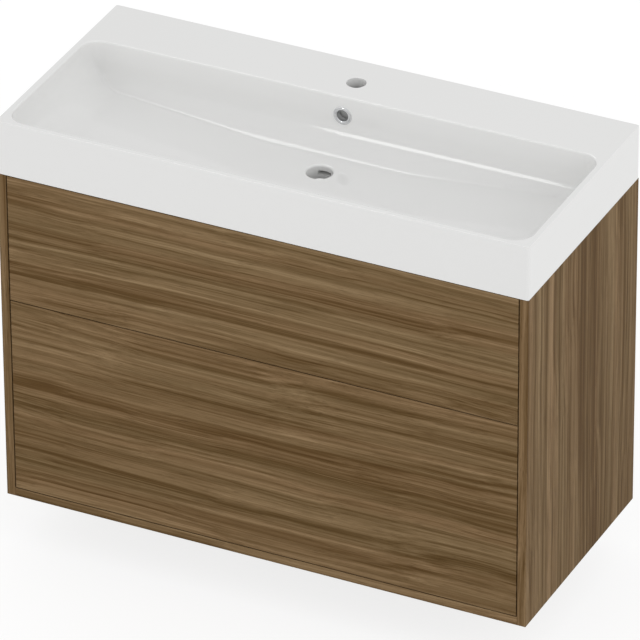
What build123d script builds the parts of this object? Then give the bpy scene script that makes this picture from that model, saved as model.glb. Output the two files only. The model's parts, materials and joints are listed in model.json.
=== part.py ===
from build123d import *
import math
import os

# A wall-hung vanity unit: a wide basin on a cabinet with two push-to-open drawers.
# Millimetres. X runs to the right, Y towards the wall, Z up. The wall is the plane y = 0,
# the middle of the unit is x = 0, and the underside of the cabinet is z = 0.

# Overall sizes
unit_width = 1000.0
unit_depth = 455.0
cabinet_height = 649.0
basin_height = 103.0
basin_overhang = 0.5

# Basin
rim_width = 12.0
deck_depth = 128.0
deck_thickness = 12.0
bowl_wall = 11.0
bowl_depth = 100.0
bowl_corner_radius = 35.0
floor_flat_width = 300.0
floor_slope = 3.0
floor_blend_radius = 1500.0
end_foot_radius = 72.0
long_foot_radius = 58.0
long_foot_slope = 25.0
long_foot_start = 82.0
bowl_rim_radius = 3.0
basin_corner_radius = 4.0
basin_edge_radius = 2.0
tap_hole_radius = 17.5
tap_hole_from_wall = 73.0
tap_seat_radius = 32.0
tap_seat_thickness = 6.0
tap_edge_radius = 1.0
waste_hole_radius = 23.0
waste_hole_from_wall = 220.0
waste_edge_radius = 4.0
waste_seat_radius = 36.0
waste_seat_thickness = 27.0
overflow_below_rim = 37.0
overflow_hole_radius = 11.5
overflow_channel_width = 26.0
overflow_channel_depth = 8.0
overflow_channel_wall = 6.0

# Overflow ring
ring_radius = 17.0
ring_thickness = 2.4
ring_collar_wall = 1.0
ring_collar_length = 9.0
ring_edge_radius = 1.08

# Pads under the basin
pad_thickness = 1.0
pad_length = 40.0
pad_width = 8.0
pad_count = 3
pad_end_distance = 60.0

# Cabinet boards
board = 16.0
board_edge_radius = 0.8
stretcher_height = 60.0
stretcher_below_basin = 6.0
rail_height = 100.0
rail_from_wall = 20.0

# Drawer fronts
front_gap = 2.0
front_thickness = 16.0
upper_front_height = 247.0
push_space = 4.0

# Drawer boxes
box_board = 15.0
box_bottom_thickness = 8.0
box_to_rail = 17.5
box_lift = 20.0
upper_box_height = 120.0
lower_box_height = 200.0
groove_depth = 6.0
groove_height_above_edge = 10.0
trap_recess_width = 220.0
trap_recess_reach = 80.0

# Runners: three nested channels with a ball cage in each gap
runner_length = 350.0
runner_thickness = 12.7
runner_height = 45.0
runner_gauge = 1.2
runner_bend_radius = 1.6
runner_above_box_edge = 40.0
runner_set_back = 5.0
runner_screw_inset = 42.0
track_gap = 3.0
cage_gauge = 1.2
cage_length = 120.0
middle_member_offset = 3.0
cabinet_member_reach = 10.5
middle_member_reach = 11.0
drawer_member_reach = 6.5
cage_slide_clearance = 0.3
ball_radius = 1.45
ball_count = 4

# Push latches
latch_above_box_edge = 88.0
latch_length = 78.0
latch_height = 14.0
latch_width = 12.0
latch_plate_thickness = 2.5
latch_plate_height = 34.0
latch_plate_length = 44.0
latch_edge_radius = 2.8
plunger_radius = 3.0
plunger_length = 66.0
plunger_tip_radius = 4.0
plunger_tip_length = 2.4
plunger_rest_gap = 0.3
plunger_room_behind = 8.0

# Hangers on the cabinet and plates on the wall
hanger_width = 17.0
hanger_height = 46.0
hanger_depth = 48.0
hanger_below_top = 18.0
hook_thickness = 3.0
hook_arm_height = 8.0
hook_drop = 12.0
hook_below_hanger_top = 17.0
hook_from_panel = 24.0
plate_gauge = 2.0
plate_width = 60.0
plate_height = 46.0
plate_step = 6.0
plate_lip_height = 14.0
plate_hole_spacing = 26.0
plate_hole_radius = 4.0
plate_from_panel = 2.0
adjuster_radius = 3.5
adjuster_depth = 4.0
adjuster_inset = 8.0
hanger_edge_radius = 2.0

# Cams, bolts and dowels
cam_radius = 7.5
cam_depth = 12.5
cam_from_end = 24.0
bolt_radius = 3.0
bolt_neck_radius = 2.2
bolt_head_radius = 3.4
bolt_head_length = 2.6
bolt_bore_radius = 4.0
bolt_depth_in_panel = 11.0
dowel_radius = 4.0
dowel_length = 30.0
dowel_depth_in_panel = 10.0
fixing_pitch = 64.0
fixing_edge_distance = 37.0

# Screws
screw_radius = 1.75
screw_head_radius = 3.4
screw_length = 13.0
front_screw_radius = 2.0
front_screw_head_radius = 4.0
front_screw_head_height = 2.4
front_screw_grip = 11.0
front_screw_from_side = 90.0
front_screw_above_bottom = 45.0
front_screw_below_top = 25.0

# Fits
fastener_clearance = 0.05
slip_clearance = 0.3
groove_clearance = 0.1

# What follows from the sizes above
underside_of_basin = cabinet_height + pad_thickness
rim_z = underside_of_basin + basin_height
cabinet_half_width = unit_width / 2 - basin_overhang
inside_half_width = cabinet_half_width - board
cabinet_front_y = -unit_depth + basin_overhang
front_back_y = cabinet_front_y + front_thickness
bowl_floor_z = rim_z - bowl_depth
bowl_underside_z = bowl_floor_z - bowl_wall
box_half_width = inside_half_width - runner_thickness
rail_front_y = -rail_from_wall - board
box_back_y = rail_front_y - box_to_rail
upper_front_top = underside_of_basin - front_gap
upper_front_bottom = upper_front_top - upper_front_height
lower_front_top = upper_front_bottom - front_gap
lower_front_bottom = board + front_gap
upper_box_bottom = upper_front_bottom + box_lift
lower_box_bottom = lower_front_bottom + box_lift
runner_front_y = front_back_y + runner_set_back
runner_back_y = runner_front_y + runner_length


def block(x_range, y_range, z_range):
    """A rectangular block between two values on each axis."""
    (x_low, x_high), (y_low, y_high), (z_low, z_high) = x_range, y_range, z_range
    middle = Pos((x_low + x_high) / 2, (y_low + y_high) / 2, (z_low + z_high) / 2)
    return middle * Box(x_high - x_low, y_high - y_low, z_high - z_low)


def span(side, near, far):
    """The range of X between two distances from the middle, on side -1 or 1."""
    return tuple(sorted((side * near, side * far)))


def rod(start, direction, radius, length):
    """A round rod from a point, along a direction."""
    place = Plane(origin=start, z_dir=direction)
    return place * Cylinder(radius, length, align=(Align.CENTER, Align.CENTER, Align.MIN))


def turned(start, direction, profile):
    """A solid turned about an axis, from (radius, distance along the axis) points."""
    place = Plane(origin=start, z_dir=direction)
    outline = Plane.XZ * make_face(Polyline(*profile, close=True))
    return place * revolve(outline, Axis.Z)


def bounds_meet(one, other):
    """Whether the boxes round two solids overlap."""
    a, b = one.bounding_box(), other.bounding_box()
    pairs = zip(tuple(a.min) + tuple(b.min), tuple(b.max) + tuple(a.max))
    return all(low < high for low, high in pairs)


def drilled(piece, holes):
    """A piece less every hole that reaches it."""
    near = [hole for hole in holes if bounds_meet(piece, hole)]
    return piece - near if near else piece


def rounded_front(piece, radius):
    """A board with the edges round its front face eased."""
    return fillet(piece.faces().sort_by(Axis.Y)[0].edges(), radius)


# Basin


def bowl_space(grown):
    """The space inside the bowl, or the bowl's outside when it is grown by the wall."""
    half_width = unit_width / 2 - rim_width + grown
    back = -deck_depth + grown
    front = -unit_depth + rim_width - grown
    floor = bowl_floor_z - grown
    low = floor - bowl_wall

    plan = RectangleRounded(2 * half_width, back - front, bowl_corner_radius + grown)
    upright = extrude(Pos(0, (front + back) / 2, rim_z) * plan, amount=low - rim_z)

    half_flat = floor_flat_width / 2
    end_floor = floor + (half_width - half_flat) * math.tan(math.radians(floor_slope))
    end_radius = end_foot_radius + grown
    lengthwise = FilletPolyline(
        (-half_width, rim_z),
        (-half_width, end_floor),
        (-half_flat, floor),
        (half_flat, floor),
        (half_width, end_floor),
        (half_width, rim_z),
        radius=[0, end_radius, floor_blend_radius, floor_blend_radius, end_radius, 0],
        close=True,
    )

    slope = math.radians(long_foot_slope)
    foot = rim_z - long_foot_start - grown / math.cos(slope) + grown * math.tan(slope)
    run = (foot - low) / math.tan(slope)
    long_radius = long_foot_radius + grown
    crosswise = FilletPolyline(
        (back, rim_z),
        (back, foot),
        (back - run, low),
        (front + run, low),
        (front, foot),
        (front, rim_z),
        radius=[0, long_radius, 0, 0, long_radius, 0],
        close=True,
    )

    trough = extrude(Plane.XZ * make_face(lengthwise), amount=unit_depth, both=True)
    gutter = extrude(Plane.YZ * make_face(crosswise), amount=half_width, both=True)
    return upright & trough & gutter


def overflow_duct(side_wall, bore):
    """The channel behind and below the bowl that leads the overflow to the waste."""
    half = overflow_channel_width / 2 + side_wall
    shell_back = -deck_depth + bowl_wall
    outer_back = shell_back + overflow_channel_depth + (0 if bore else overflow_channel_wall)
    inner_front = shell_back if bore else -deck_depth - long_foot_radius / 2
    top = rim_z - deck_thickness
    bottom = bowl_underside_z - overflow_channel_depth - (0 if bore else overflow_channel_wall)
    drop = block((-half, half), (inner_front, outer_back), (bottom, top))
    run = block((-half, half), (-waste_hole_from_wall, outer_back), (bottom, bowl_underside_z))
    return drop + run


def make_basin():
    """The basin: deck, apron and bowl in one shell, open below."""
    half = unit_width / 2
    body = block((-half, half), (-unit_depth, 0), (underside_of_basin, rim_z))
    body = fillet(body.edges().filter_by(Axis.Z), basin_corner_radius)
    body = fillet(body.faces().sort_by(Axis.Z)[-1].edges(), basin_edge_radius)
    body -= block(
        (-half + rim_width, half - rim_width),
        (-unit_depth + rim_width, -rim_width),
        (underside_of_basin, rim_z - deck_thickness),
    )
    body += bowl_space(bowl_wall)

    tap_centre = (0, -tap_hole_from_wall, rim_z)
    waste_centre = (0, -waste_hole_from_wall, bowl_floor_z)
    down = (0, 0, -1)
    body += rod(tap_centre, down, tap_seat_radius, deck_thickness + tap_seat_thickness)
    body += rod(waste_centre, down, waste_seat_radius, waste_seat_thickness)
    body += overflow_duct(overflow_channel_wall, bore=False)

    body -= bowl_space(0)
    rim_face = body.faces().filter_by(Axis.Z).sort_by(Axis.Z)[-1]
    body = fillet(rim_face.inner_wires()[0].edges(), bowl_rim_radius)

    body -= rod(tap_centre, down, tap_hole_radius, basin_height)
    body -= rod(waste_centre, down, waste_hole_radius, basin_height)
    body -= overflow_duct(0, bore=True)
    overflow_start = (0, -deck_depth, rim_z - overflow_below_rim)
    to_channel = bowl_wall + overflow_channel_depth / 2
    body -= rod(overflow_start, (0, 1, 0), overflow_hole_radius, to_channel)
    body -= rod(overflow_start, (0, -1, 0), ring_radius + slip_clearance, bowl_wall)

    waste_rim = body.edges().filter_by(GeomType.CIRCLE)
    waste_rim = waste_rim.filter_by(lambda edge: abs(edge.radius - waste_hole_radius) < 0.01)
    waste_rim = waste_rim.filter_by(lambda edge: abs(edge.center().Z - bowl_floor_z) < 0.01)
    body = fillet(waste_rim, waste_edge_radius)
    tap_rim = body.edges().filter_by(GeomType.CIRCLE)
    tap_rim = tap_rim.filter_by(lambda edge: abs(edge.radius - tap_hole_radius) < 0.01)
    tap_rim = tap_rim.filter_by(lambda edge: abs(edge.center().Z - rim_z) < 0.01)
    return fillet(tap_rim, tap_edge_radius)


def make_overflow_ring():
    """The domed ring in the overflow hole, with a collar that reaches through the wall."""
    collar = overflow_hole_radius - fastener_clearance
    bore = collar - ring_collar_wall
    start = (0, -deck_depth, rim_z - overflow_below_rim)
    ring = turned(
        start,
        (0, -1, 0),
        [
            (bore, -ring_collar_length),
            (collar, -ring_collar_length),
            (collar, 0),
            (ring_radius, 0),
            (ring_radius, ring_thickness),
            (bore, ring_thickness),
        ],
    )
    lips = ring.edges().filter_by(GeomType.CIRCLE).sort_by(Axis.Y)
    lips = lips.filter_by(lambda edge: abs(edge.center().Y + deck_depth + ring_thickness) < 0.01)
    return fillet(lips, ring_edge_radius)


def make_pads():
    """The pads that bed the basin's apron on the side panels."""
    pads = []
    middle = (unit_width / 2 - rim_width + cabinet_half_width) / 2
    travel = unit_depth - 2 * pad_end_distance - pad_length
    for side in (-1, 1):
        for index in range(pad_count):
            front = -unit_depth + pad_end_distance + travel * index / (pad_count - 1)
            pads.append(
                block(
                    span(side, middle - pad_width / 2, middle + pad_width / 2),
                    (front, front + pad_length),
                    (cabinet_height, underside_of_basin),
                )
            )
    return pads


# Cams, bolts and dowels that join the cross boards to the side panels


def cam_fixing(side, y, z, face_direction):
    """A cam, its bolt and their holes, where a cross board meets a side panel.

    The point (y, z) is at mid thickness of the cross board, and face_direction points
    to the face that the cam goes in through.
    """
    joint = Vector(side * inside_half_width, y, z)
    inward = Vector(-side, 0, 0)
    out = Vector(*face_direction)
    cam_face = joint + inward * cam_from_end + out * (board / 2)
    bolt = turned(
        joint - inward * bolt_depth_in_panel,
        inward,
        [
            (0, 0),
            (bolt_radius, 0),
            (bolt_radius, bolt_depth_in_panel),
            (bolt_neck_radius, bolt_depth_in_panel),
            (bolt_neck_radius, bolt_depth_in_panel + cam_from_end - bolt_head_length),
            (bolt_head_radius, bolt_depth_in_panel + cam_from_end - bolt_head_length),
            (bolt_head_radius, bolt_depth_in_panel + cam_from_end),
            (0, bolt_depth_in_panel + cam_from_end),
        ],
    )
    bore_length = cam_from_end + bolt_bore_radius
    bolt_bore = rod(joint, inward, bolt_bore_radius, bore_length)
    cam = rod(cam_face, out * -1, cam_radius - fastener_clearance, cam_depth) - bolt_bore
    holes = [
        rod(cam_face, out * -1, cam_radius, cam_depth + slip_clearance),
        rod(joint, inward, bolt_bore_radius, cam_from_end),
        rod(
            joint,
            inward * -1,
            bolt_radius + fastener_clearance,
            bolt_depth_in_panel + slip_clearance,
        ),
    ]
    return cam, bolt, holes


def dowel_fixing(side, y, z):
    """A dowel across the same joint, and its hole."""
    start = Vector(side * (inside_half_width + dowel_depth_in_panel), y, z)
    inward = Vector(-side, 0, 0)
    dowel = rod(start, inward, dowel_radius, dowel_length)
    hole = rod(
        start - inward * slip_clearance,
        inward,
        dowel_radius + fastener_clearance,
        dowel_length + 2 * slip_clearance,
    )
    return dowel, hole


stretcher_top = bowl_underside_z - stretcher_below_basin
stretcher_front_y = front_back_y + push_space
rail_middle_y = -rail_from_wall - board / 2
panel_middle_z = board / 2


def make_fixings():
    """Every cam, bolt and dowel of the cabinet, and the holes they need."""
    backwards = (0, 1, 0)
    downwards = (0, 0, -1)
    stretcher_y = stretcher_front_y + board / 2
    rail_levels = [cabinet_height - rail_height / 2, board + rail_height / 2]
    cam_places = [
        (cabinet_front_y + fixing_edge_distance, panel_middle_z, downwards),
        (-fixing_edge_distance - board, panel_middle_z, downwards),
        (stretcher_y, stretcher_top - stretcher_height / 2, backwards),
    ]
    dowel_places = [
        (cabinet_front_y + fixing_edge_distance + fixing_pitch, panel_middle_z),
        (-fixing_edge_distance - board - fixing_pitch, panel_middle_z),
        (stretcher_y, stretcher_top - stretcher_height / 4),
    ]
    for level in rail_levels:
        cam_places.append((rail_middle_y, level - fixing_pitch / 2, backwards))
        dowel_places.append((rail_middle_y, level - fixing_pitch / 4))

    cams, bolts, dowels, holes = [], [], [], []
    for side in (-1, 1):
        for place in cam_places:
            cam, bolt, cam_holes = cam_fixing(side, *place)
            cams.append(cam)
            bolts.append(bolt)
            holes += cam_holes
        for place in dowel_places:
            dowel, dowel_hole = dowel_fixing(side, *place)
            dowels.append(dowel)
            holes.append(dowel_hole)
    return cams, bolts, dowels, holes


# Screws


def flat_screw(face_point, direction):
    """A countersunk screw whose head lies flush in a runner's web, and its hole."""
    neck = runner_gauge

    def outline(extra):
        return [
            (0, 0),
            (screw_head_radius + extra, 0),
            (screw_radius + extra, neck),
            (screw_radius + extra, screw_length + (slip_clearance if extra else 0)),
            (0, screw_length + (slip_clearance if extra else 0)),
        ]

    screw = turned(face_point, direction, outline(0))
    hole = turned(face_point, direction, outline(fastener_clearance))
    return screw, hole


def front_screw(face_point, direction, through):
    """A pan head screw through a board into the drawer front, and its hole."""
    length = through + front_screw_grip
    screw = turned(
        face_point,
        direction,
        [
            (0, -front_screw_head_height),
            (front_screw_head_radius, -front_screw_head_height),
            (front_screw_head_radius, 0),
            (front_screw_radius, 0),
            (front_screw_radius, length),
            (0, length),
        ],
    )
    hole = rod(
        face_point,
        direction,
        front_screw_radius + fastener_clearance,
        length + slip_clearance,
    )
    return screw, hole


# Runners


def runner_section(web_x, tip_x, half_height):
    """The section of a rolled channel: a flat web and two flanges."""
    inward = math.copysign(1, tip_x - web_x)
    inner_x = web_x + inward * runner_gauge
    inner_half = half_height - runner_gauge
    inner_radius = runner_bend_radius - runner_gauge
    path = FilletPolyline(
        (tip_x, half_height),
        (web_x, half_height),
        (web_x, -half_height),
        (tip_x, -half_height),
        (tip_x, -inner_half),
        (inner_x, -inner_half),
        (inner_x, inner_half),
        (tip_x, inner_half),
        radius=[0, runner_bend_radius, runner_bend_radius, 0, 0, inner_radius, inner_radius, 0],
        close=True,
    )
    return make_face(path)


def runner_bar(side, level, web, tip, half_height):
    """One member of a runner: web and tip are distances from the side panel's face."""
    section = runner_section(
        side * (inside_half_width - web), side * (inside_half_width - tip), half_height
    )
    start = Plane(origin=(0, runner_front_y, level), x_dir=(1, 0, 0), z_dir=(0, 1, 0))
    turned_section = start * mirror(section, about=Plane.XZ)
    return extrude(turned_section, amount=runner_length)


half_cabinet_member = runner_height / 2
half_middle_member = half_cabinet_member - runner_gauge - track_gap
half_drawer_member = half_middle_member - runner_gauge - track_gap


def cabinet_member(side, level):
    return runner_bar(side, level, 0, cabinet_member_reach, half_cabinet_member)


def middle_member(side, level):
    return runner_bar(
        side, level, middle_member_offset, middle_member_reach, half_middle_member
    )


def drawer_member(side, level):
    web = runner_thickness
    return runner_bar(side, level, web, web - drawer_member_reach, half_drawer_member)


def ball_cage(side, level, first, last, outer_half):
    """Two strips with their balls, which run in the upper and lower ball track."""
    solids = []
    middle_y = runner_front_y + runner_length / 2
    strip_middle = outer_half - track_gap / 2
    ball_pitch = cage_length / ball_count
    ball_x = side * (inside_half_width - (first + last) / 2)
    for sign in (-1, 1):
        z = level + sign * strip_middle
        strip = block(
            span(side, inside_half_width - last, inside_half_width - first),
            (middle_y - cage_length / 2, middle_y + cage_length / 2),
            (z - cage_gauge / 2, z + cage_gauge / 2),
        )
        for index in range(ball_count):
            y = middle_y + (index - (ball_count - 1) / 2) * ball_pitch
            strip -= rod(
                (ball_x, y, z - cage_gauge),
                (0, 0, 1),
                ball_radius + fastener_clearance,
                2 * cage_gauge,
            )
            solids.append(Pos(ball_x, y, z) * Sphere(ball_radius))
        solids.append(strip)
    return solids


def outer_cage(side, level):
    first = middle_member_offset + runner_gauge
    return ball_cage(side, level, first, cabinet_member_reach, half_cabinet_member - runner_gauge)


def inner_cage(side, level):
    first = runner_thickness - drawer_member_reach
    last = middle_member_reach - cage_slide_clearance
    return ball_cage(side, level, first, last, half_middle_member - runner_gauge)


def runner_screws(side, level):
    """The screws of one runner: two into the side panel and two into the drawer's side."""
    inward = Vector(-side, 0, 0)
    panel_face = inside_half_width - runner_gauge
    drawer_face = box_half_width + runner_gauge
    panel_screws, drawer_screws, holes = [], [], []
    for y in (runner_front_y + runner_screw_inset, runner_back_y - runner_screw_inset):
        screw, hole = flat_screw(Vector(side * panel_face, y, level), inward * -1)
        panel_screws.append(screw)
        holes.append(hole)
        screw, hole = flat_screw(Vector(side * drawer_face, y, level), inward)
        drawer_screws.append(screw)
        holes.append(hole)
    return panel_screws, drawer_screws, holes


# Push latches


def latch_axis(side, level):
    """Where the plunger's axis leaves the front of the housing."""
    return Vector(side * (inside_half_width - latch_width / 2), stretcher_front_y, level)


def make_latch_housing(side, level):
    """A housing screwed to the side panel, with a bore for the plunger."""
    axis = latch_axis(side, level)
    near, far = inside_half_width - latch_width, inside_half_width
    body = block(
        span(side, near, far),
        (axis.Y, axis.Y + latch_length),
        (level - latch_height / 2, level + latch_height / 2),
    )
    body = fillet(body.edges().filter_by(Axis.Y), latch_edge_radius)
    plate_middle = axis.Y + latch_length / 2
    body += block(
        span(side, inside_half_width - latch_plate_thickness, inside_half_width),
        (plate_middle - latch_plate_length / 2, plate_middle + latch_plate_length / 2),
        (level - latch_plate_height / 2, level + latch_plate_height / 2),
    )
    bore_depth = plunger_length + plunger_rest_gap - push_space + plunger_room_behind
    body -= rod(axis, (0, 1, 0), plunger_radius + fastener_clearance, bore_depth)
    return body - rod(axis, (0, 1, 0), plunger_tip_radius + slip_clearance, plunger_tip_length)


def latch_screws(side, level):
    """The two screws that hold a latch housing to the side panel, and their holes."""
    axis = latch_axis(side, level)
    face = side * (inside_half_width - latch_plate_thickness)
    offset = (latch_plate_height + latch_height) / 4
    pairs = []
    for sign in (-1, 1):
        point = Vector(face, axis.Y + latch_length / 2, level + sign * offset)
        pairs.append(flat_screw(point, Vector(side, 0, 0)))
    return [screw for screw, _ in pairs], [hole for _, hole in pairs]


def make_plunger(side, level):
    """The sprung plunger: a rod in the housing and a tip that bears on the drawer front."""
    axis = latch_axis(side, level)
    tip_face = front_back_y + plunger_rest_gap
    start = Vector(axis.X, tip_face, level)
    return turned(
        start,
        (0, 1, 0),
        [
            (0, 0),
            (plunger_tip_radius, 0),
            (plunger_tip_radius, plunger_tip_length),
            (plunger_radius, plunger_tip_length),
            (plunger_radius, plunger_length),
            (0, plunger_length),
        ],
    )


# Drawers


def make_front(bottom, top):
    """A drawer front, inset between the side panels."""
    half = inside_half_width - front_gap
    front = block((-half, half), (cabinet_front_y, front_back_y), (bottom, top))
    return rounded_front(front, board_edge_radius)


def front_screws(bottom, height, through):
    """The screws that hold a front to its box, at two levels on each side."""
    screws, holes = [], []
    face_y = front_back_y + through
    for x in (-box_half_width + front_screw_from_side, box_half_width - front_screw_from_side):
        for z in (bottom + front_screw_above_bottom, bottom + height - front_screw_below_top):
            point = (x, face_y, z)
            screw, hole = front_screw(point, (0, -1, 0), through)
            screws.append(screw)
            holes.append(hole)
    return screws, holes


def bottom_ranges(bottom, extra):
    """The bottom board's place in its grooves, grown by extra all round."""
    half = box_half_width - box_board + groove_depth - groove_clearance + extra
    front = front_back_y + box_board - groove_depth + groove_clearance - extra
    back = box_back_y - box_board + groove_depth - groove_clearance + extra
    low = bottom + groove_height_above_edge - extra
    high = low + box_bottom_thickness + 2 * extra
    return (-half, half), (front, back), (low, high)


def box_boards(bottom, height, recessed):
    """The boards of a drawer box by name; a recessed box leaves room for the trap."""
    top = bottom + height
    inner = box_half_width - box_board
    level = (bottom, top)
    back = (box_back_y - box_board, box_back_y)
    boards = {
        "left_side": block(span(-1, inner, box_half_width), (front_back_y, box_back_y), level),
        "right_side": block(span(1, inner, box_half_width), (front_back_y, box_back_y), level),
        "box_front": block((-inner, inner), (front_back_y, front_back_y + box_board), level),
    }
    if not recessed:
        boards["back"] = block((-inner, inner), back, level)
        return boards, None
    recess = trap_recess_width / 2
    recess_front = -waste_hole_from_wall - trap_recess_reach
    deep = (recess_front - box_board, box_back_y)
    boards["left_back"] = block(span(-1, recess + box_board, inner), back, level)
    boards["right_back"] = block(span(1, recess + box_board, inner), back, level)
    boards["recess_left"] = block(span(-1, recess, recess + box_board), deep, level)
    boards["recess_right"] = block(span(1, recess, recess + box_board), deep, level)
    boards["recess_front"] = block(
        (-recess, recess), (recess_front - box_board, recess_front), level
    )
    return boards, (recess, recess_front)


def box_bottom(bottom, recess, extra):
    """The bottom board, or the room for it when it is grown by a clearance."""
    x_range, y_range, z_range = bottom_ranges(bottom, extra)
    panel = block(x_range, y_range, z_range)
    if recess is None:
        return panel
    half, front = recess
    edge = box_board - groove_depth + groove_clearance - extra
    return panel - block((-half - edge, half + edge), (front - edge, unit_depth), z_range)


def make_box(prefix, bottom, height, recessed, holes):
    """A drawer box: its boards, grooved for the bottom and drilled for the screws."""
    boards, recess = box_boards(bottom, height, recessed)
    groove = box_bottom(bottom, recess, groove_clearance)
    pieces = {}
    for name, piece in boards.items():
        pieces[f"{prefix}_{name}"] = drilled(piece - groove, holes)
    pieces[f"{prefix}_bottom"] = box_bottom(bottom, recess, 0)
    return pieces


# Hangers and wall plates


hanger_top = cabinet_height - hanger_below_top
hook_top = hanger_top - hook_below_hanger_top
lip_top = hook_top - hook_arm_height - slip_clearance
hook_x = inside_half_width - hook_from_panel
plate_x = inside_half_width - plate_from_panel - plate_width / 2


def make_wall_plate(side):
    """A cranked steel plate that is screwed to the wall; the hook drops behind its lip."""
    step_z = lip_top - plate_lip_height
    low = step_z - plate_height
    profile = Polyline(
        (0, low),
        (0, step_z),
        (-plate_step, step_z),
        (-plate_step, lip_top),
        (-plate_step - plate_gauge, lip_top),
        (-plate_step - plate_gauge, step_z - plate_gauge),
        (-plate_gauge, step_z - plate_gauge),
        (-plate_gauge, low),
        close=True,
    )
    plate = extrude(Plane.YZ * make_face(profile), amount=plate_width / 2, both=True)
    plate = Pos(side * plate_x, 0, 0) * plate
    for level in wall_hole_levels():
        start = (side * plate_x, -plate_step, level)
        plate -= rod(start, (0, 1, 0), plate_hole_radius, 2 * plate_step)
    return plate


def wall_hole_levels():
    """The heights of the two screw holes in a wall plate."""
    middle = lip_top - plate_lip_height - plate_gauge - (plate_height - plate_gauge) / 2
    return middle - plate_hole_spacing / 2, middle + plate_hole_spacing / 2


def make_hook(side):
    """The hanger's steel arm: it passes the rail and drops behind the plate's lip."""
    tip_y = -plate_step + slip_clearance
    tip_far = tip_y + hook_thickness
    rest = lip_top + slip_clearance
    profile = Polyline(
        (rail_front_y - hanger_depth + plate_gauge, hook_top),
        (tip_far, hook_top),
        (tip_far, lip_top - hook_drop),
        (tip_y, lip_top - hook_drop),
        (tip_y, rest),
        (rail_front_y - hanger_depth + plate_gauge, rest),
        close=True,
    )
    arm = extrude(Plane.YZ * make_face(profile), amount=hook_thickness / 2, both=True)
    return Pos(side * hook_x, 0, 0) * arm


def make_hanger(side):
    """The hanger's housing before the rail, with the hook's slot and two adjusters."""
    near = hook_x - hanger_width / 2
    housing = block(
        span(side, near, inside_half_width),
        (rail_front_y - hanger_depth, rail_front_y),
        (hanger_top - hanger_height, hanger_top),
    )
    housing = fillet(housing.edges().filter_by(Axis.X), hanger_edge_radius)
    half_slot = hook_thickness / 2 + slip_clearance
    slot = block(
        span(side, hook_x - half_slot, hook_x + half_slot),
        (rail_front_y - hanger_depth + plate_gauge - slip_clearance, 0),
        (lip_top, hook_top + slip_clearance),
    )
    housing -= slot
    adjusters = []
    for level in (hanger_top - adjuster_inset, hanger_top - hanger_height + adjuster_inset):
        point = (side * hook_x, rail_front_y - hanger_depth, level)
        housing -= rod(point, (0, 1, 0), adjuster_radius + fastener_clearance, adjuster_depth)
        adjusters.append(rod(point, (0, 1, 0), adjuster_radius, adjuster_depth))
    return housing, adjusters, slot


# The cabinet


def make_side_panel(side, holes):
    """A side panel with eased front edges and its drillings."""
    panel = block(
        span(side, inside_half_width, cabinet_half_width),
        (cabinet_front_y, 0),
        (0, cabinet_height),
    )
    return drilled(rounded_front(panel, board_edge_radius), holes)


def cross_board(y_range, z_range, holes):
    """A board between the side panels."""
    across = (-inside_half_width, inside_half_width)
    return drilled(block(across, y_range, z_range), holes)


def write(name, solids):
    """Write one node, which may hold several separate solids."""
    flat = list(solids) if isinstance(solids, (list, tuple)) else [solids]
    shape = flat[0] if len(flat) == 1 else Compound(children=[Compound(s.wrapped) for s in flat])
    export_step(shape, f"parts/{name}.step")


os.makedirs("parts", exist_ok=True)
pieces = {}

cams, bolts, dowels, joint_holes = make_fixings()
pieces["cam_locks"] = cams
pieces["cam_bolts"] = bolts
pieces["dowels"] = dowels

drawers = {
    "upper": {
        "front": (upper_front_bottom, upper_front_top),
        "box": (upper_box_bottom, upper_box_height),
        "recessed": True,
    },
    "lower": {
        "front": (lower_front_bottom, lower_front_top),
        "box": (lower_box_bottom, lower_box_height),
        "recessed": False,
    },
}

panel_holes = list(joint_holes)
panel_screws = []
for name, drawer in drawers.items():
    box_bottom_z, box_height = drawer["box"]
    runner_level = box_bottom_z + runner_above_box_edge
    latch_level = box_bottom_z + latch_above_box_edge
    drawer_holes = []
    drawer_screws = []
    plungers = []
    for side, word in ((-1, "left"), (1, "right")):
        into_panel, into_drawer, holes = runner_screws(side, runner_level)
        panel_screws += into_panel
        drawer_screws += into_drawer
        panel_holes += holes
        drawer_holes += holes
        pieces[f"{name}_{word}_cabinet_member"] = drilled(
            cabinet_member(side, runner_level), holes
        )
        pieces[f"{name}_{word}_drawer_member"] = drilled(drawer_member(side, runner_level), holes)
        pieces[f"{name}_{word}_middle_member"] = middle_member(side, runner_level)
        housing_screws, housing_holes = latch_screws(side, latch_level)
        panel_screws += housing_screws
        panel_holes += housing_holes
        pieces[f"{name}_{word}_latch_housing"] = drilled(
            make_latch_housing(side, latch_level), housing_holes
        )
        plungers.append(make_plunger(side, latch_level))
    pieces[f"{name}_latch_plungers"] = plungers
    pieces[f"{name}_outer_ball_cages"] = outer_cage(-1, runner_level) + outer_cage(1, runner_level)
    pieces[f"{name}_inner_ball_cages"] = inner_cage(-1, runner_level) + inner_cage(1, runner_level)

    fixing_screws, fixing_holes = front_screws(box_bottom_z, box_height, box_board)
    pieces[f"{name}_drawer_screws"] = drawer_screws + fixing_screws
    drawer_holes += fixing_holes
    pieces[f"{name}_front"] = drilled(make_front(*drawer["front"]), fixing_holes)
    pieces.update(make_box(name, box_bottom_z, box_height, drawer["recessed"], drawer_holes))

hangers, hooks, adjusters, slots = [], [], [], []
for side in (-1, 1):
    housing, pair, slot = make_hanger(side)
    hangers.append(housing)
    hooks.append(make_hook(side))
    adjusters += pair
    slots.append(slot)
pieces["left_hanger"], pieces["right_hanger"] = hangers
pieces["left_hanger_hook"], pieces["right_hanger_hook"] = hooks
pieces["hanger_adjusters"] = adjusters
pieces["left_wall_plate"] = make_wall_plate(-1)
pieces["right_wall_plate"] = make_wall_plate(1)

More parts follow.
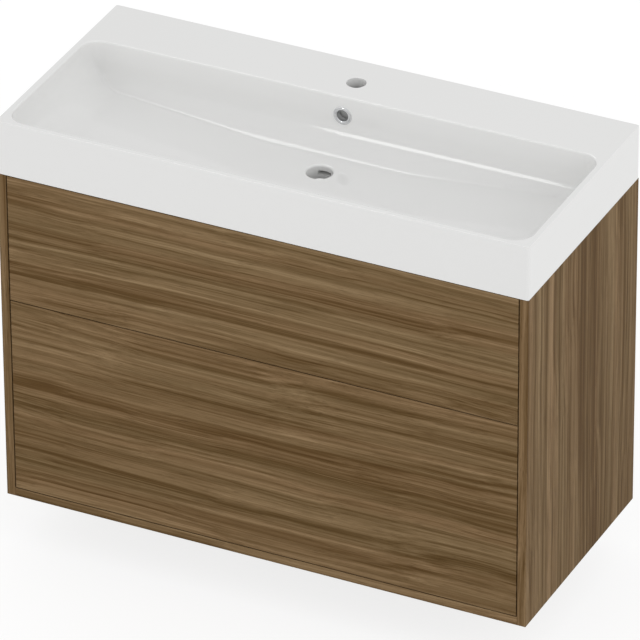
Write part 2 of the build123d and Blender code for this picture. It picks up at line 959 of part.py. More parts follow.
pieces["cabinet_screws"] = panel_screws
pieces["left_side_panel"] = make_side_panel(-1, panel_holes)
pieces["right_side_panel"] = make_side_panel(1, panel_holes)
bottom_panel = cross_board((cabinet_front_y, 0), (0, board), joint_holes)
pieces["bottom_panel"] = rounded_front(bottom_panel, board_edge_radius)
pieces["front_stretcher"] = cross_board(
    (stretcher_front_y, stretcher_front_y + board),
    (stretcher_top - stretcher_height, stretcher_top),
    joint_holes,
)
rail_depth = (rail_front_y, -rail_from_wall)
pieces["rear_top_rail"] = cross_board(
    rail_depth, (cabinet_height - rail_height, cabinet_height), joint_holes + slots
)
pieces["rear_lower_rail"] = cross_board(rail_depth, (board, board + rail_height), joint_holes)

pieces["basin"] = make_basin()
pieces["overflow_ring"] = make_overflow_ring()
pieces["basin_pads"] = make_pads()

for name, solids in pieces.items():
    write(name, solids)
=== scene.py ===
import json
import math

import bmesh
import bpy
from mathutils import Matrix, Vector


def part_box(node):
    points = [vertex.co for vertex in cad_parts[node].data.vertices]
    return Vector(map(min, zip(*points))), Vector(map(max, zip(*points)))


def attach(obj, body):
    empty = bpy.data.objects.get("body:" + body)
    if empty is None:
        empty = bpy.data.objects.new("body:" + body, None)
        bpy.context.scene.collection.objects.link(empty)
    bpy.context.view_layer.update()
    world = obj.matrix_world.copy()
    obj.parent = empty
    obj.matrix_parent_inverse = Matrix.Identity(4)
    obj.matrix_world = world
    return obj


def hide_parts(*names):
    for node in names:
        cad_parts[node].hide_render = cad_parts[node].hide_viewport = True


# A wall-hung vanity unit: a white glazed basin on a walnut cabinet with two drawers.
# Metres. X runs to the right, Y towards the wall and Z up. The wall is the plane Y = 0.

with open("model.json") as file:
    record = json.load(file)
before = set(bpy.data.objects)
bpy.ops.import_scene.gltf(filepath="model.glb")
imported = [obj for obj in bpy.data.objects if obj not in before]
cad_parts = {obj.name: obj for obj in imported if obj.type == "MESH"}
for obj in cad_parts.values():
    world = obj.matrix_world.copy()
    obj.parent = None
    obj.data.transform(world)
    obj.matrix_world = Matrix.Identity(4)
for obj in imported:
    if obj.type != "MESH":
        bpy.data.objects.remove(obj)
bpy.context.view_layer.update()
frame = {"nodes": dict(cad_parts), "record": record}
record = frame["record"]
nodes = frame["nodes"]

# Camera, as the photograph was taken
AZIMUTH = 25.99
ELEVATION = 31.11
ROLL = -0.37
DISTANCE = 13.325
TARGET = Vector((0.0016, -0.2250, 0.3596))
LENS = 433.2
SENSOR = 36.0
VIEW_END = 200.0

# Floor and surround
FLOOR_LEVEL = -0.100
FLOOR_SIZE = 60.0
FLOOR_SHADE = 0.80
FLOOR_GLOW = 1.06
FLOOR_GLOW_SHARE = 0.75
AMBIENT = 0.81

# Lamps: the place of each, the point it faces, its width, height and brightness
BOWL_MIDDLE = (0.0, -0.29, 0.70)
GLEAM_LAMPS = {
    "front_strip": ((-0.74, -2.40, 1.38), (0.19, -0.13, 0.69), 0.50, 0.50, 4.6),
    "back_softbox": ((-0.75, 0.45, 2.20), BOWL_MIDDLE, 1.30, 0.80, 3.0),
}
FILL_LAMPS = {
    "front_panel": ((-1.8, -5.0, 1.7), (0.0, -0.3, 0.5), 4.0, 2.6, 0.95),
    "right_panel": ((4.8, -1.2, 2.5), (0.4, -0.2, 0.4), 3.0, 2.6, 1.42),
}

# Basin body
basin_low, basin_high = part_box("basin")
HALF_WIDTH = basin_high.x
FRONT = basin_low.y
BACK = basin_high.y
RIM = basin_high.z
APRON_FOOT = 0.650
RIM_WIDTH = 0.012
DECK_DEPTH = 0.128
DECK_THICKNESS = 0.012
OUTER_CORNER = 0.004
OUTER_EDGE = 0.0013

# Bowl
BOWL_HALF = HALF_WIDTH - RIM_WIDTH
BOWL_FRONT = FRONT + RIM_WIDTH
BOWL_BACK = BACK - DECK_DEPTH
BOWL_WALL = 0.011
BOWL_DEPTH = 0.100
BOWL_FLOOR = RIM - BOWL_DEPTH
UNDER_FLOOR = BOWL_FLOOR - BOWL_WALL
PLAN_CORNER = 0.035
FLOOR_FLAT = 0.150
FLOOR_SLOPE = math.radians(3.0)
FLOOR_BLEND = 1.500
END_FOOT = 0.072
LONG_FOOT = 0.058
LONG_SLOPE = math.radians(25.0)
LONG_FOOT_START = 0.082
CREASE_BLEND = 0.0020
CREASE_GROWTH = 0.20
CREASE_GROWTH_TOP = 0.045
RIM_FADE = 0.020
RIM_ROUND = 0.003

# Fineness of the bowl's surface
LEVEL_STEP = 0.006
LONG_FOOT_TURN = 3.0
END_FOOT_TURN = 2.9
CREASE_START = 0.012
CREASE_END = 0.046
CREASE_STEP = 0.0012
FLOOR_STEP = 0.008
UNDERSIDE_FINENESS = 3.0

# Tap hole, waste hole and overflow
ROUND_SIDES = 96
ABOVE_RIM = 0.010
TAP = (0.0, BACK - 0.073)
TAP_RADIUS = 0.0175
TAP_SEAT_RADIUS = 0.032
TAP_SEAT_THICKNESS = 0.006
TAP_EDGE = 0.001
WASTE = (0.0, BACK - 0.220)
WASTE_RADIUS = 0.023
WASTE_EDGE = 0.004
WASTE_EDGE_TURN = 12
WASTE_SEAT_RADIUS = 0.036
WASTE_SEAT_THICKNESS = 0.027
OVERFLOW = (0.0, BOWL_BACK, RIM - 0.037)
OVERFLOW_RADIUS = 0.0115
CHANNEL_WIDTH = 0.026
CHANNEL_DEPTH = 0.008
CHANNEL_WALL = 0.006
RING_RADIUS = 0.017
RING_THICKNESS = 0.0024
RING_FOOT = 0.0004
RING_BORE = 0.01045
RING_COLLAR = 0.01145
RING_COLLAR_LENGTH = 0.009
RING_ROOM = 0.0003
RING_DOME_STEPS = 16

# Walnut: the stretch of each layer of its figure, along the grain and across it
SLOW_SWAY = (1.1, 4.0, 4.0)
QUICK_SWAY = (5.0, 15.0, 15.0)
BROAD_BANDS = (0.5, 10.0, 10.0)
BANDS = (0.55, 34.0, 34.0)
LINES = (1.0, 130.0, 130.0)
FIBRES = (2.4, 400.0, 400.0)
TINTS = (0.6, 24.0, 24.0)
PORES = (30.0, 1300.0, 1300.0)
SLOW_SWAY_REACH = 0.045
QUICK_SWAY_REACH = 0.010
WALNUT_GLOSS = 0.06
WALNUT_RELIEF = 0.00006

# Walnut boards: whether the grain runs upright, and where in the figure each board starts
WALNUT_BOARDS = {
    "left_side_panel": (True, (0.13, 7.10, 2.37)),
    "right_side_panel": (True, (0.71, 3.55, 5.20)),
    "upper_front": (False, (0.40, 1.70, 3.11)),
    "lower_front": (False, (4.33, 6.20, 9.40)),
    "bottom_panel": (False, (2.90, 4.45, 1.75)),
    "front_stretcher": (False, (6.15, 2.85, 7.62)),
    "rear_top_rail": (False, (8.05, 9.35, 4.48)),
    "rear_lower_rail": (False, (9.42, 5.05, 6.13)),
}


# Shader trees


def add(tree, kind, inputs=None, **settings):
    """A node with its settings, whose inputs are linked to sockets or set to values."""
    node = tree.nodes.new(kind)
    for key, value in settings.items():
        setattr(node, key, value)
    for key, value in (inputs or {}).items():
        if isinstance(value, bpy.types.NodeSocket):
            tree.links.new(value, node.inputs[key])
        else:
            node.inputs[key].default_value = value
    return node


def calculate(tree, operation, first, second):
    """The result of one sum on two values."""
    return add(tree, "ShaderNodeMath", {0: first, 1: second}, operation=operation).outputs[0]


def moved(tree, vector, shift):
    """A vector with a shift added to it."""
    return add(tree, "ShaderNodeVectorMath", {0: vector, 1: shift}).outputs[0]


def noise(tree, vector, stretch, detail=2.0, roughness=0.5):
    """A noise value, stretched by its own amount along each axis."""
    inputs = {0: vector, 1: stretch}
    stretched = add(tree, "ShaderNodeVectorMath", inputs, operation="MULTIPLY").outputs[0]
    inputs = {"Vector": stretched, "Scale": 1.0, "Detail": detail, "Roughness": roughness}
    return add(tree, "ShaderNodeTexNoise", inputs).outputs[0]


def ramp(tree, value, stops):
    """A colour ramp through (position, colour) stops."""
    node = add(tree, "ShaderNodeValToRGB", {0: value})
    elements = node.color_ramp.elements
    while len(elements) < len(stops):
        elements.new(0.5)
    for element, (position, colour) in zip(elements, stops):
        element.position = position
        element.color = colour
    return node.outputs[0]


def mixed(tree, share, first, second, blend="MIX"):
    """Two colours mixed by a share."""
    node = add(tree, "ShaderNodeMix", data_type="RGBA", blend_type=blend)
    for key, value in (("Factor", share), ("A", first), ("B", second)):
        socket = next(s for s in node.inputs if s.name == key and s.enabled)
        if isinstance(value, bpy.types.NodeSocket):
            tree.links.new(value, socket)
        else:
            socket.default_value = value
    return next(s for s in node.outputs if s.enabled)


def fitted(tree, value, low, high):
    """A value from 0 to 1 spread between low and high."""
    inputs = {"Value": value, "To Min": low, "To Max": high}
    return add(tree, "ShaderNodeMapRange", inputs).outputs[0]


def new_group(name, inputs, outputs):
    """An effect that several finishes use: its tree, its inputs and its output sockets."""
    group = bpy.data.node_groups.new(name, "ShaderNodeTree")
    for label, kind in inputs:
        group.interface.new_socket(label, in_out="INPUT", socket_type=f"NodeSocket{kind}")
    for label, kind in outputs:
        group.interface.new_socket(label, in_out="OUTPUT", socket_type=f"NodeSocket{kind}")
    given = group.nodes.new("NodeGroupInput").outputs
    result = group.nodes.new("NodeGroupOutput").inputs
    return group, given, result


def paint(red, green, blue):
    """A colour given as it is seen, from 0 to 255, as the shader's linear values."""
    linear = []
    for part in (red, green, blue):
        share = part / 255
        linear.append(share / 12.92 if share <= 0.04045 else ((share + 0.055) / 1.055) ** 2.4)
    return (*linear, 1.0)


# Shared effects


def sway(tree, place, stretch, reach):
    """A slow shift across the grain, up to half a reach to each side."""
    centred = calculate(tree, "SUBTRACT", noise(tree, place, stretch, 1.0), 0.5)
    return calculate(tree, "MULTIPLY", centred, reach)


def build_long_grain():
    """Walnut figure that runs along the vector's X: bands, lines, fibres, pores and tints."""
    tree, given, result = new_group(
        "long_grain",
        [("Vector", "Vector"), ("Offset", "Vector"), ("Swell", "Float")],
        [("Color", "Color"), ("Roughness", "Float"), ("Height", "Float")],
    )
    place = moved(tree, given["Vector"], given["Offset"])
    slow = sway(tree, place, SLOW_SWAY, given["Swell"])
    quick = sway(tree, place, QUICK_SWAY, QUICK_SWAY_REACH)
    across = calculate(tree, "ADD", slow, quick)
    shift = add(tree, "ShaderNodeCombineXYZ", {"Y": across, "Z": across}).outputs[0]
    wavy = moved(tree, place, shift)

    fibres = noise(tree, wavy, FIBRES, 2.0, 0.6)
    layers = (
        (noise(tree, wavy, BROAD_BANDS, 1.0), 0.28),
        (noise(tree, wavy, BANDS, 2.0, 0.6), 0.44),
        (noise(tree, wavy, LINES, 1.0), 0.44),
        (fibres, 0.38),
    )
    tone = 0.0
    for layer, share in layers:
        tone = calculate(tree, "ADD", tone, calculate(tree, "MULTIPLY", layer, share))
    walnut_tones = [
        (0.56, paint(80, 57, 29)),
        (0.67, paint(94, 72, 42)),
        (0.77, paint(114, 92, 63)),
        (0.87, paint(132, 109, 79)),
        (0.97, paint(149, 126, 95)),
    ]
    figure = ramp(tree, tone, walnut_tones)

    red_and_grey = [(0.38, (1.04, 0.99, 0.96, 1)), (0.62, (1.0, 1.0, 0.97, 1))]
    tints = ramp(tree, noise(tree, wavy, TINTS), red_and_grey)
    figure = mixed(tree, 1.0, figure, tints, "MULTIPLY")

    open_and_closed = [(0.30, (1, 1, 1, 1)), (0.42, (0, 0, 0, 1))]
    pores = ramp(tree, noise(tree, wavy, PORES, 1.0), open_and_closed)
    pore_share = calculate(tree, "MULTIPLY", pores, 0.4)
    figure = mixed(tree, pore_share, figure, paint(64, 44, 20))

    tree.links.new(figure, result["Color"])
    tree.links.new(fitted(tree, fibres, 0.48, 0.64), result["Roughness"])
    ridges = calculate(tree, "MULTIPLY", fibres, 0.5)
    tree.links.new(calculate(tree, "SUBTRACT", ridges, pores), result["Height"])
    return tree


def build_fine_mottle():
    """Small uneven tone, as moulded, cast and lacquered surfaces have."""
    tree, given, result = new_group(
        "fine_mottle",
        [("Vector", "Vector"), ("Size", "Float"), ("Dark", "Color"), ("Light", "Color")],
        [("Color", "Color"), ("Value", "Float")],
    )
    inputs = {0: given["Vector"], "Scale": calculate(tree, "DIVIDE", 1.0, given["Size"])}
    place = add(tree, "ShaderNodeVectorMath", inputs, operation="SCALE").outputs[0]
    value = noise(tree, place, (1.0, 1.0, 1.0), 3.0, 0.6)
    tree.links.new(mixed(tree, value, given["Dark"], given["Light"]), result["Color"])
    tree.links.new(value, result["Value"])
    return tree


long_grain = build_long_grain()
fine_mottle = build_fine_mottle()


# Finishes


def new_finish(name, **constants):
    """A material whose shader has these constants, its tree and its Object coordinates."""
    finish = bpy.data.materials.new(name)
    finish.use_nodes = True
    tree = finish.node_tree
    shader = next(node for node in tree.nodes if node.type == "BSDF_PRINCIPLED")
    for key, value in constants.items():
        shader.inputs[key.replace("_", " ")].default_value = value
    place = add(tree, "ShaderNodeTexCoord").outputs["Object"]
    return finish, tree, shader, place


def bumped(tree, shader, height, depth):
    """Lets a height of up to the given depth shape the shader's normal."""
    bump = add(tree, "ShaderNodeBump", {"Height": height, "Distance": depth, "Strength": 1.0})
    tree.links.new(bump.outputs[0], shader.inputs["Normal"])


def walnut(name, upright, offset):
    """Satin walnut decor, whose grain runs upright or along X."""
    finish, tree, shader, place = new_finish(name, Specular_IOR_Level=WALNUT_GLOSS)
    turn = (0.0, math.radians(90.0), 0.0) if upright else (0.0, 0.0, 0.0)
    along = add(tree, "ShaderNodeMapping", {"Vector": place, "Rotation": turn}).outputs[0]
    inputs = {"Vector": along, "Offset": offset, "Swell": SLOW_SWAY_REACH}
    grain = add(tree, "ShaderNodeGroup", inputs, node_tree=long_grain).outputs
    tree.links.new(grain["Color"], shader.inputs["Base Color"])
    tree.links.new(grain["Roughness"], shader.inputs["Roughness"])
    bumped(tree, shader, grain["Height"], WALNUT_RELIEF)
    return finish


def mottled(name, size, dark, light, roughness, relief=0.0, **constants):
    """A finish with small uneven tone between two colours, and between two roughnesses."""
    finish, tree, shader, place = new_finish(name, **constants)
    inputs = {"Vector": place, "Size": size, "Dark": dark, "Light": light}
    mottle = add(tree, "ShaderNodeGroup", inputs, node_tree=fine_mottle).outputs
    tree.links.new(mottle["Color"], shader.inputs["Base Color"])
    tree.links.new(fitted(tree, mottle["Value"], *roughness), shader.inputs["Roughness"])
    if relief:
        bumped(tree, shader, mottle["Value"], relief)
    return finish


def rolled_steel(name):
    """Zinc-plated steel with faint rolling streaks along Y."""
    finish, tree, shader, place = new_finish(name, Metallic=1.0)
    streaks = noise(tree, place, (900.0, 14.0, 900.0), 2.0)
    colour = ramp(tree, streaks, [(0.3, paint(150, 152, 154)), (0.7, paint(186, 188, 190))])
    tree.links.new(colour, shader.inputs["Base Color"])
    tree.links.new(fitted(tree, streaks, 0.26, 0.44), shader.inputs["Roughness"])
    bumped(tree, shader, streaks, 0.00001)
    return finish


def beech_wood(name):
    """Pale beech along X with short flecks."""
    finish, tree, shader, place = new_finish(name)
    flecks = noise(tree, place, (60.0, 900.0, 900.0), 2.0)
    colour = ramp(tree, flecks, [(0.3, paint(176, 140, 98)), (0.7, paint(206, 172, 128))])
    tree.links.new(colour, shader.inputs["Base Color"])
    tree.links.new(fitted(tree, flecks, 0.55, 0.7), shader.inputs["Roughness"])
    return finish


def white_glaze():
    return mottled("white_glaze", 0.35, paint(235, 235, 234), paint(237, 237, 236), (0.04, 0.07))


def polished_chrome():
    dark, light = paint(205, 206, 208), paint(222, 223, 224)
    return mottled("polished_chrome", 0.02, dark, light, (0.06, 0.12), Metallic=1.0)


def pad_rubber():
    return mottled("pad_rubber", 0.004, paint(150, 150, 146), paint(172, 172, 168), (0.5, 0.65))


def grey_board():
    dark, light = paint(70, 70, 73), paint(84, 84, 87)
    return mottled("grey_board", 0.003, dark, light, (0.5, 0.62), 0.00004)


def cast_zinc():
    dark, light = paint(140, 142, 146), paint(170, 172, 176)
    return mottled("cast_zinc", 0.002, dark, light, (0.38, 0.52), Metallic=1.0)


def grey_plastic():
    dark, light = paint(76, 78, 81), paint(88, 90, 93)
    return mottled("grey_plastic", 0.0015, dark, light, (0.45, 0.58), 0.00002)


def white_plastic():
    dark, light = paint(208, 208, 204), paint(218, 218, 215)
    return mottled("white_plastic", 0.0015, dark, light, (0.38, 0.5), 0.00002)


finishes = {
    "ceramic": white_glaze(),
    "chrome": polished_chrome(),
    "clear_rubber": pad_rubber(),
    "box_board": grey_board(),
    "beech": beech_wood("beech_wood"),
    "zinc": cast_zinc(),
    "steel": rolled_steel("plated_steel"),
    "grey_plastic": grey_plastic(),
    "white_plastic": white_plastic(),
}
for name, (upright, offset) in WALNUT_BOARDS.items():
    finishes[name] = walnut(f"walnut_{name}", upright, offset)


def dress(piece, finish):
    """Gives a piece one finish all over."""
    piece.data.materials.clear()
    piece.data.materials.append(finish)


for subpart in record["subparts"]:
    name = subpart["node"]
    dress(nodes[name], finishes.get(name) or finishes[subpart["material_slot"]])


# Modelling helpers


def deselect_all():
    bpy.ops.object.select_all(action="DESELECT")


def select_only(piece):
    deselect_all()
    piece.select_set(True)
    bpy.context.view_layer.objects.active = piece


def edit(piece):
    """Opens one piece in edit mode with nothing selected."""
    select_only(piece)
    bpy.ops.object.mode_set(mode="EDIT")
    bpy.ops.mesh.select_all(action="DESELECT")
    return bmesh.from_edit_mesh(piece.data)


def stop_editing():
    bpy.ops.object.mode_set(mode="OBJECT")


def settle(piece):
    """Moves a piece's place, turn and size into its mesh."""
    select_only(piece)
    bpy.ops.object.transform_apply(location=True, rotation=True, scale=True)
    return piece


def new_piece(name):
    """Names the primitive that was just added, and settles it."""
    piece = bpy.context.object
    piece.name = name
    return settle(piece)


def block(name, low, high):
    """A block between two corners, to be shaped further."""
    low, high = Vector(low), Vector(high)
    deselect_all()
    bpy.ops.mesh.primitive_cube_add(size=1, location=(low + high) / 2, scale=high - low)
    return new_piece(name)


def upright_rod(name, centre, radius, low, high):
    """A vertical rod between two heights, to be joined or cut away."""
    deselect_all()
    place = (*centre, (low + high) / 2)
    bpy.ops.mesh.primitive_cylinder_add(vertices=64, radius=radius, depth=high - low, location=place)
    return new_piece(name)


def level_rod(name, start, length, radius, sides):
    """A rod along Y from a point, to be cut away."""
    deselect_all()
    place = (start[0], start[1] + length / 2, start[2])
    along_y = (math.pi / 2, 0, 0)
    bpy.ops.mesh.primitive_cylinder_add(
        vertices=sides, radius=radius, depth=abs(length), location=place, rotation=along_y
    )
    return new_piece(name)


def turned(name, outline, centre):
    """A shell turned about an upright axis: a circle extruded from point to point."""
    radius, height = outline[0]
    deselect_all()
    place = (*centre, height)
    bpy.ops.mesh.primitive_circle_add(vertices=ROUND_SIDES, radius=radius, location=place)
    piece = new_piece(name)
    edit(piece)
    bpy.ops.mesh.select_mode(type="EDGE")
    bpy.ops.mesh.select_all(action="SELECT")
    for next_radius, next_height in outline[1:]:
        rise = (0, 0, next_height - height)
        bpy.ops.mesh.extrude_region_move(TRANSFORM_OT_translate={"value": rise})
        widened = next_radius / radius
        middle = (*centre, next_height)
        bpy.ops.transform.resize(value=(widened, widened, 1.0), center_override=middle)
        radius, height = next_radius, next_height
    return piece


def select_edges(piece, wanted):
    """Selects only the edges that a test picks, in edit mode."""
    bpy.ops.mesh.select_mode(type="EDGE")
    bpy.ops.mesh.select_all(action="DESELECT")
    for edge in bmesh.from_edit_mesh(piece.data).edges:
        if wanted(edge):
            edge.select_set(True)
    bmesh.update_edit_mesh(piece.data)


def bevel_edges(piece, wanted, width, segments):
    """Rounds the edges that a test picks."""
    edit(piece)
    select_edges(piece, wanted)
    bpy.ops.mesh.bevel(
        offset=width, segments=segments, profile=0.5, affect="EDGES", clamp_overlap=True
    )
    stop_editing()


def combine(piece, other, operation):
    """Joins another piece to this one, or cuts it away, and removes it."""
    modifier = piece.modifiers.new("combine", "BOOLEAN")
    modifier.operation = operation
    modifier.object = other
    modifier.solver = "EXACT"
    select_only(piece)
    bpy.ops.object.modifier_apply(modifier=modifier.name)
    bpy.data.objects.remove(other)


def smooth(piece, angle):
    """Smooth shading up to an angle, with flat faces kept flat."""
    select_only(piece)
    bpy.ops.object.shade_smooth_by_angle(angle=math.radians(angle))
    modifier = piece.modifiers.new("weights", "WEIGHTED_NORMAL")
    modifier.keep_sharp = True
    bpy.ops.object.modifier_apply(modifier=modifier.name)


def at_rim(edge, tolerance=0.00002):
    """Whether an edge lies in the plane of the basin's rim."""
    return all(abs(vertex.co.z - RIM) < tolerance for vertex in edge.verts)


# Bowl


def steps(start, end, size):
    """Values from start to end in equal steps of about a size, without the end."""
    count = max(1, round(abs(end - start) / size))
    return [start + (end - start) * index / count for index in range(count)]


def long_foot_height(depth, grown):
    """The height of the long walls' foot, at a distance in from the wall's face."""
    radius = LONG_FOOT + grown
    foot = RIM - LONG_FOOT_START - grown / math.cos(LONG_SLOPE) + grown * math.tan(LONG_SLOPE)
    reach = radius * math.tan((math.pi / 2 - LONG_SLOPE) / 2)
    if depth < radius * (1 - math.sin(LONG_SLOPE)):
        return foot + reach - math.sqrt(radius**2 - (radius - depth) ** 2)
    return foot - depth * math.tan(LONG_SLOPE)


def floor_height(x, grown):
    """The height of the floor and the end walls' feet, at a distance from the middle."""
    floor = BOWL_FLOOR - grown
    radius = END_FOOT + grown
    centre = BOWL_HALF + grown - radius
    from_flat = abs(x) - FLOOR_FLAT
    blend = FLOOR_BLEND * math.tan(FLOOR_SLOPE / 2)
    if abs(x) > centre + radius * math.sin(FLOOR_SLOPE):
        rise = (centre - FLOOR_FLAT) * math.tan(FLOOR_SLOPE)
        middle = floor + rise + radius / math.cos(FLOOR_SLOPE)
        return middle - math.sqrt(max(0.0, radius**2 - (abs(x) - centre) ** 2))
    if from_flat > blend:
        return floor + from_flat * math.tan(FLOOR_SLOPE)
    if from_flat > -blend:
        return floor + (from_flat + blend) ** 2 / (2 * FLOOR_BLEND)
    return floor


def blended(one, other, brim):
    """The higher of two heights, with the crease between them softened below the brim."""
    higher = max(one, other)
    above_floor = min(max(higher - BOWL_FLOOR, 0.0), CREASE_GROWTH_TOP)
    fade = min(max((brim - higher) / RIM_FADE, 0.0), 1.0)
    reach = (CREASE_BLEND + CREASE_GROWTH * above_floor) * fade
    if reach <= 0 or abs(one - other) >= reach:
        return higher
    share = (reach - abs(one - other)) / reach
    return higher + share**2 * reach / 4


def corner_rounded(x, y, grown):
    """A point of the bowl's rectangular plan, drawn in where the plan's corner is round."""
    half = BOWL_HALF + grown
    front = BOWL_FRONT - grown
    back = BOWL_BACK + grown
    radius = PLAN_CORNER + grown
    across = abs(x) - (half - radius)
    along = radius - min(back - y, y - front)
    if across <= 0 or along <= 0:
        return x, y
    u, v = across / radius, along / radius
    new_x = half - radius + radius * u * math.sqrt(1 - v * v / 2)
    inward = radius - radius * v * math.sqrt(1 - u * u / 2)
    new_y = back - inward if back - y < y - front else front + inward
    return math.copysign(new_x, x), new_y


def bowl_sections(grown, top, fineness):
    """The bowl's sections across and along it, as (place, height) points."""
    half = BOWL_HALF + grown
    front = BOWL_FRONT - grown
    back = BOWL_BACK + grown
    middle = (back - front) / 2
    long_radius = LONG_FOOT + grown
    end_radius = END_FOOT + grown
    end_foot = floor_height(half, grown)
    long_foot = long_foot_height(0.0, grown)
    levels = [top] + steps(min(top, RIM) - LEVEL_STEP, end_foot, LEVEL_STEP * fineness)

    crease_end = CREASE_END + grown
    turn = math.degrees(math.acos((long_radius - CREASE_START) / long_radius))
    depths = []
    for angle in steps(0.0, turn, LONG_FOOT_TURN * fineness):
        depths.append(long_radius * (1 - math.cos(math.radians(angle))))
    depths += steps(CREASE_START, crease_end, CREASE_STEP * fineness)
    depths += steps(crease_end, middle, FLOOR_STEP * fineness)
    wall = levels + steps(end_foot, long_foot, LEVEL_STEP * fineness)
    rows = [(0.0, level) for level in wall]
    rows += [(depth, long_foot_height(depth, grown)) for depth in depths]
    across = [(back - depth, height) for depth, height in rows]
    across += [((front + back) / 2, long_foot_height(middle, grown))]
    across += [(front + depth, height) for depth, height in reversed(rows)]

    foot_start = half - end_radius
    places = []
    for angle in steps(0.0, 90.0 - math.degrees(FLOOR_SLOPE), END_FOOT_TURN * fineness):
        places.append(foot_start + end_radius * math.cos(math.radians(angle)))
    places += steps(foot_start + end_radius * math.sin(FLOOR_SLOPE), 0.0, FLOOR_STEP * fineness)
    columns = [(half, level) for level in levels]
    columns += [(x, floor_height(x, grown)) for x in places]
    along = [(-x, height) for x, height in columns] + [(0.0, floor_height(0.0, grown))]
    along += [(x, height) for x, height in reversed(columns)]
    return across, along


def bowl_solid(name, grown, top, fineness=1.0):
    """The bowl as a closed solid, of its inner space or grown to its outer side."""
    half = BOWL_HALF + grown
    ends = (BOWL_FRONT - grown, BOWL_BACK + grown)
    across, along = bowl_sections(grown, top, fineness)
    deselect_all()
    bpy.ops.mesh.primitive_grid_add(
        x_subdivisions=len(along) - 1, y_subdivisions=len(across) - 1, size=2
    )
    piece = bpy.context.object
    piece.name = name
    mesh = edit(piece)
    for vertex in mesh.verts:
        column = round((vertex.co.x + 1) / 2 * (len(along) - 1))
        row = round((1 - vertex.co.y) / 2 * (len(across) - 1))
        x, end_height = along[column]
        y, long_height = across[row]
        if abs(x) == half and y in ends:
            height = max(end_height, long_height)
        else:
            height = blended(end_height, long_height, min(top, RIM))
        x, y = corner_rounded(x, y, grown)
        vertex.co = (x, y, height)
    bmesh.ops.remove_doubles(mesh, verts=mesh.verts, dist=0.00002)
    bmesh.ops.dissolve_degenerate(mesh, dist=0.00001, edges=mesh.edges)
    brim = [edge for edge in mesh.edges if edge.is_boundary]
    bmesh.ops.contextual_create(mesh, geom=brim)
    bmesh.ops.recalc_face_normals(mesh, faces=mesh.faces)
    bmesh.update_edit_mesh(piece.data)
    stop_editing()
    return piece


# Basin


def build_shell():
    """The apron and the deck: a block hollowed from below, with its edges eased."""
    shell = block("glazed_basin", (-HALF_WIDTH, FRONT, APRON_FOOT), (HALF_WIDTH, BACK, RIM))
    mesh = edit(shell)
    bpy.ops.mesh.select_mode(type="FACE")
    for face in mesh.faces:
        if face.normal.z < -0.9:
            face.select_set(True)
    bmesh.update_edit_mesh(shell.data)
    bpy.ops.mesh.inset(thickness=RIM_WIDTH, depth=0.0)
    rise = RIM - DECK_THICKNESS - APRON_FOOT
    bpy.ops.mesh.extrude_region_move(TRANSFORM_OT_translate={"value": (0, 0, rise)})
    stop_editing()

    def at_outer_corner(edge):
        upright = abs(edge.verts[0].co.z - edge.verts[1].co.z) > 0.05
        return upright and abs(edge.verts[0].co.x) > HALF_WIDTH - 0.001

    bevel_edges(shell, at_outer_corner, OUTER_CORNER, 8)
    bevel_edges(shell, lambda edge: at_rim(edge, 0.0001), OUTER_EDGE, 5)
    return shell


def join_underside(basin):
    """Joins the bowl's outer side, the seats of tap and waste, and the overflow's duct."""
    inside = RIM - DECK_THICKNESS / 2
    half_duct = CHANNEL_WIDTH / 2 + CHANNEL_WALL
    duct_back = BOWL_BACK + BOWL_WALL + CHANNEL_DEPTH + CHANNEL_WALL
    duct_low = UNDER_FLOOR - CHANNEL_DEPTH - CHANNEL_WALL

    combine(basin, bowl_solid("bowl_outside", BOWL_WALL, inside, UNDERSIDE_FINENESS), "UNION")
    low = RIM - DECK_THICKNESS - TAP_SEAT_THICKNESS
    combine(basin, upright_rod("tap_seat", TAP, TAP_SEAT_RADIUS, low, inside), "UNION")
    low, high = BOWL_FLOOR - WASTE_SEAT_THICKNESS, BOWL_FLOOR - 0.003
    combine(basin, upright_rod("waste_seat", WASTE, WASTE_SEAT_RADIUS, low, high), "UNION")
    low, high = (-half_duct, BOWL_BACK - 0.029, duct_low), (half_duct, duct_back, inside)
    combine(basin, block("duct_drop", low, high), "UNION")
    low, high = (-half_duct, WASTE[1], duct_low), (half_duct, BOWL_BACK, UNDER_FLOOR + 0.002)
    combine(basin, block("duct_run", low, high), "UNION")


def cut_bowl(basin):
    """Cuts the bowl's inner space and rounds the edge where it meets the rim."""
    combine(basin, bowl_solid("bowl_inside", 0.0, RIM + ABOVE_RIM), "DIFFERENCE")

    def at_bowl_rim(edge):
        if not at_rim(edge) or len(edge.link_faces) != 2:
            return False
        inner = all(
            abs(vertex.co.x) < BOWL_HALF + 0.001
            and BOWL_FRONT - 0.001 < vertex.co.y < BOWL_BACK + 0.001
            for vertex in edge.verts
        )
        return inner and min(abs(face.normal.z) for face in edge.link_faces) < 0.5

    bevel_edges(basin, at_bowl_rim, RIM_ROUND, 5)


def cut_overflow_channel(basin):
    """Cuts the hollow that leads down behind the bowl and on to the waste."""
    half = CHANNEL_WIDTH / 2
    back = BOWL_BACK + BOWL_WALL
    bed = UNDER_FLOOR - CHANNEL_DEPTH
    low, high = (-half, back, bed), (half, back + CHANNEL_DEPTH, RIM - DECK_THICKNESS)
    combine(basin, block("channel_drop", low, high), "DIFFERENCE")
    low, high = (-half, WASTE[1], bed), (half, back + 0.004, UNDER_FLOOR)
    combine(basin, block("channel_run", low, high), "DIFFERENCE")


